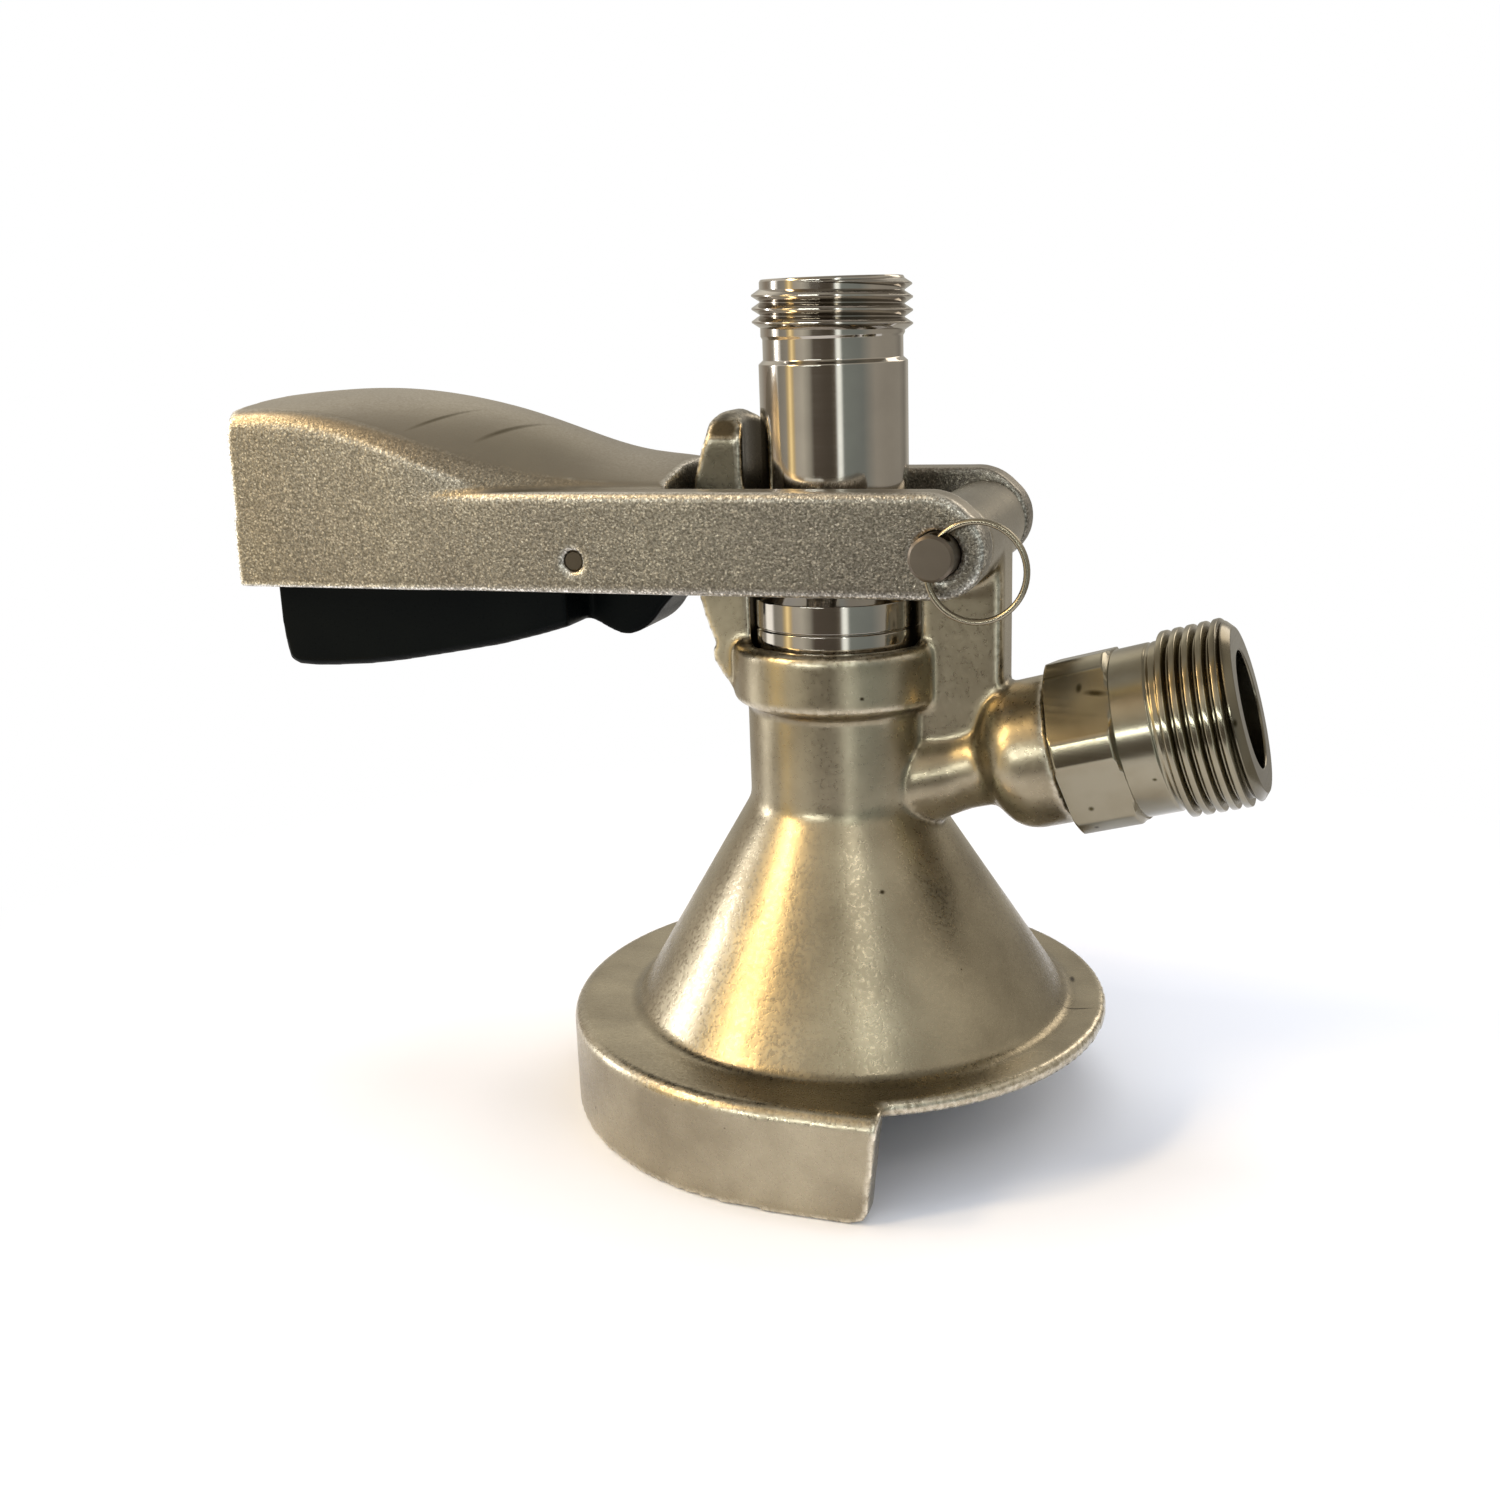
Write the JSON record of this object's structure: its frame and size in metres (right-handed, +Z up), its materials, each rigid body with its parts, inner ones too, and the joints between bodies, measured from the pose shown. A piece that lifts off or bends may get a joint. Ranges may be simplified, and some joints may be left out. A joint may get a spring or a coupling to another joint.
{
  "type": "keg coupler",
  "caption": "Slide-on keg coupler: hooked foot, hinged lever with squeeze trigger, sliding threaded probe, latch post and side gas inlet.",
  "frame": {"origin": "on the probe's axis in the plane of the foot's lower rim", "axes": "+Z up along the probe, +X towards the gas inlet and the foot's open side, -X along the handle"},
  "size_m": [0.1526, 0.0856, 0.1233],
  "materials": {
    "body_metal": "satin",
    "nipple_metal": "semi-gloss",
    "probe_metal": "polished",
    "lever_metal": "as cast",
    "pin_metal": "semi-gloss",
    "ring_metal": "bright",
    "trigger_plastic": "matte",
    "seal_rubber": "matte",
    "ball_plastic": "glossy",
    "retainer_plastic": "matte"
  },
  "bodies": {
    "body": {"coupler_body": "body_metal", "keg_gasket": "seal_rubber", "neck_wiper": "seal_rubber", "neck_o_ring_lower": "seal_rubber", "neck_o_ring_upper": "seal_rubber", "gas_washer": "seal_rubber", "gas_nipple": "nipple_metal", "duckbill_valve": "seal_rubber", "valve_retainer": "retainer_plastic", "hinge_pin": "pin_metal"},
    "lever": {"lever_handle": "lever_metal", "trigger_pin": "pin_metal", "trigger_spring": "pin_metal"},
    "trigger": {"trigger": "trigger_plastic"},
    "probe": {"probe": "probe_metal", "ball_stop_pin": "pin_metal", "probe_seal": "seal_rubber", "seal_retainer": "probe_metal"},
    "check_ball": {"check_ball": "ball_plastic"},
    "split_ring": {"split_ring": "ring_metal"}
  },
  "joints": [
    {"name": "lever_swing", "type": "hinge", "parent": "body", "child": "lever", "pos_m": [0.0193, 0, 0.0872], "axis": [0, 1, 0], "range_deg": [-12, 26]},
    {"name": "probe_slide", "type": "slide", "parent": "body", "child": "probe", "axis": [0, 0, 1], "range_m": [-0.0041, 0.0088]},
    {"name": "trigger_squeeze", "type": "hinge", "parent": "lever", "child": "trigger", "pos_m": [-0.0333, 0, 0.0856], "axis": [0, 1, 0], "range_deg": [0, 6.5], "stiffness_Nm_per_rad": 0.3, "springref_deg": -17.19},
    {"name": "ball_lift", "type": "slide", "parent": "probe", "child": "check_ball", "axis": [0, 0, 1], "range_m": [0, 0.0032]},
    {"name": "ring_swing", "type": "hinge", "parent": "body", "child": "split_ring", "pos_m": [0.0193, -0.0225, 0.0872], "axis": [0.342, 0, 0.9397], "range_deg": [-70, 0]}
  ],
  "couplings": [
    {"joint": "probe_slide", "follows": "lever_swing", "m_per_rad": 0.0192}
  ]
}
